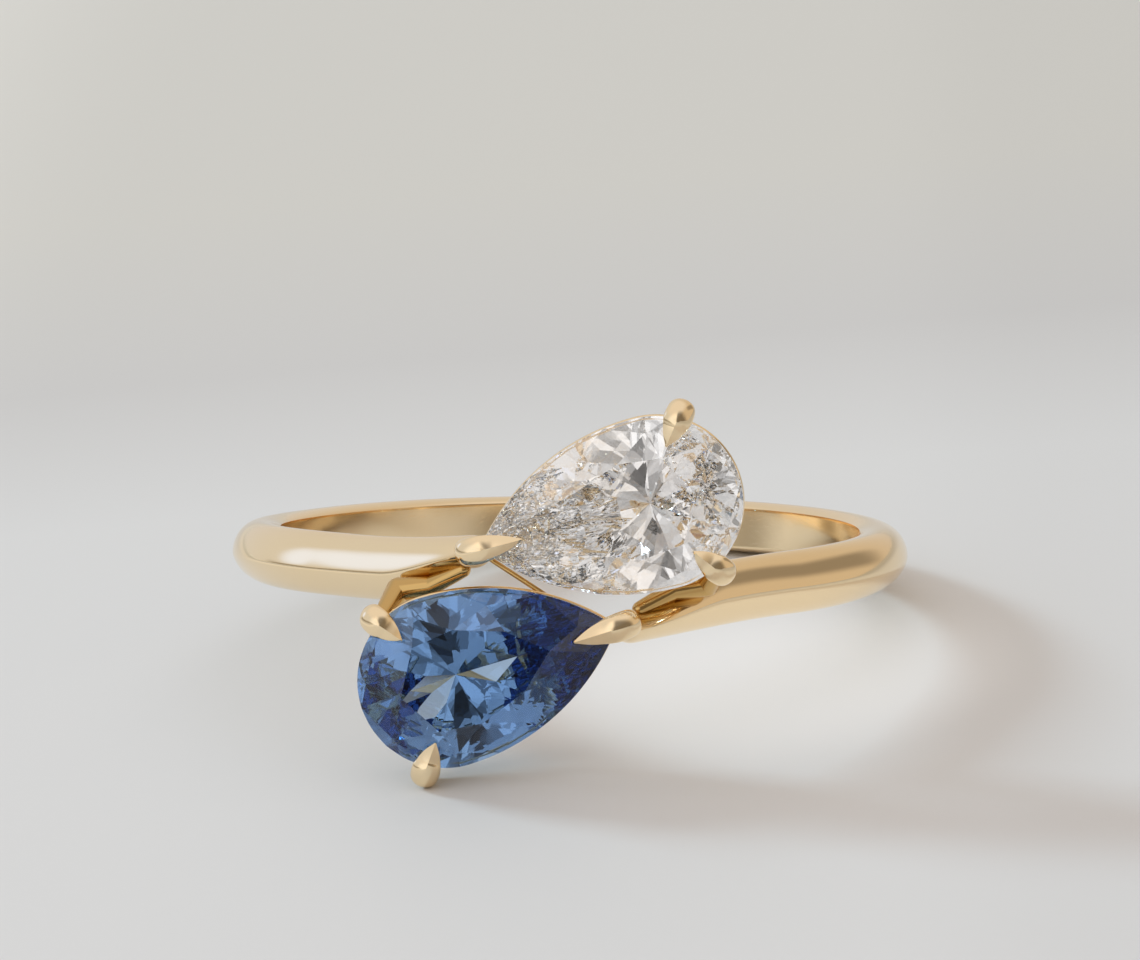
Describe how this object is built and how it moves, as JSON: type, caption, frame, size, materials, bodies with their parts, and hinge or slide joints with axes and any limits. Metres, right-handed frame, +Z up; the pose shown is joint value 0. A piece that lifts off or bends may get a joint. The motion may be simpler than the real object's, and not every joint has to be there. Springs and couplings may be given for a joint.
{
  "type": "toi et moi ring",
  "caption": "Plain bypass finger ring whose two tapering arms each end in a claw setting, one with a colourless and one with a blue pear-cut stone.",
  "frame": {"origin": "middle of the bounding box, on the surface that the ring lies on", "axes": "+Z up from the surface, +X to the ring's right as the stones face the viewer, -Y towards the stones' tables"},
  "size_m": [0.0192, 0.0219, 0.0096],
  "materials": {
    "gold": "polished 18 ct yellow gold",
    "diamond": "polished facets",
    "sapphire": "polished facets"
  },
  "bodies": {
    "root": {"gold_mount": "gold", "diamond": "diamond", "sapphire": "sapphire"}
  },
  "joints": []
}
